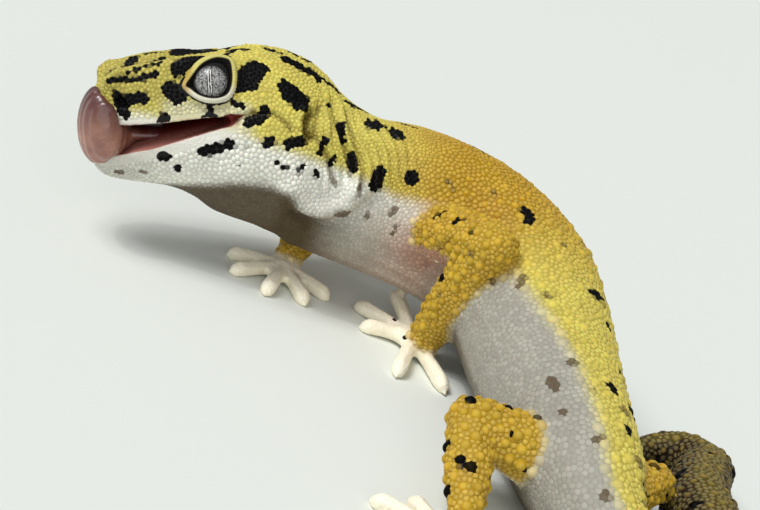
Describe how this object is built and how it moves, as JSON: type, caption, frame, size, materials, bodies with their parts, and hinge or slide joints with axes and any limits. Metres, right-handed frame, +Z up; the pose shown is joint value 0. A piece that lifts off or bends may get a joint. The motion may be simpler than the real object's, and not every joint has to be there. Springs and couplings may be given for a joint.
{
  "type": "leopard gecko model",
  "caption": "Life-size still model of a leopard gecko standing low on all fours, head raised and turned, mouth open with the tongue up over its snout, tail curled forward.",
  "frame": {"origin": "centre of the bounding box in plan, on the floor under the animal", "axes": "+Z up; -X the way the head points, +X towards the hips and tail; the left side of the body faces -Y"},
  "size_m": [0.0976, 0.0796, 0.0302],
  "materials": {
    "skin_yellow": "dry granular lizard skin, yellow above with black spots and raised tubercles, white below",
    "skin_pale": "smooth creamy white skin of jaw, hands and feet",
    "tail_brown": "brown to ochre tail skin in whorls of small scales",
    "tongue_pink": "wet pink tongue",
    "eye_gloss": "glossy eye, silver grey marbled iris with a thin upright slit pupil"
  },
  "bodies": {
    "root": {"head": "skin_yellow", "lower_jaw": "skin_pale", "tongue": "tongue_pink", "eye_left": "eye_gloss", "eye_right": "eye_gloss", "neck": "skin_yellow", "chest": "skin_yellow", "belly": "skin_yellow", "hips": "skin_yellow", "tail_base": "tail_brown", "tail_bend": "tail_brown", "tail_middle": "tail_brown", "tail_curl": "tail_brown", "tail_tip": "tail_brown", "upper_arm_left": "skin_yellow", "forearm_left": "skin_yellow", "hand_left": "skin_pale", "upper_arm_right": "skin_yellow", "forearm_right": "skin_yellow", "hand_right": "skin_pale", "thigh_left": "skin_yellow", "shank_left": "skin_yellow", "foot_left": "skin_pale", "thigh_right": "skin_yellow", "shank_right": "skin_yellow", "foot_right": "skin_pale"}
  },
  "joints": []
}
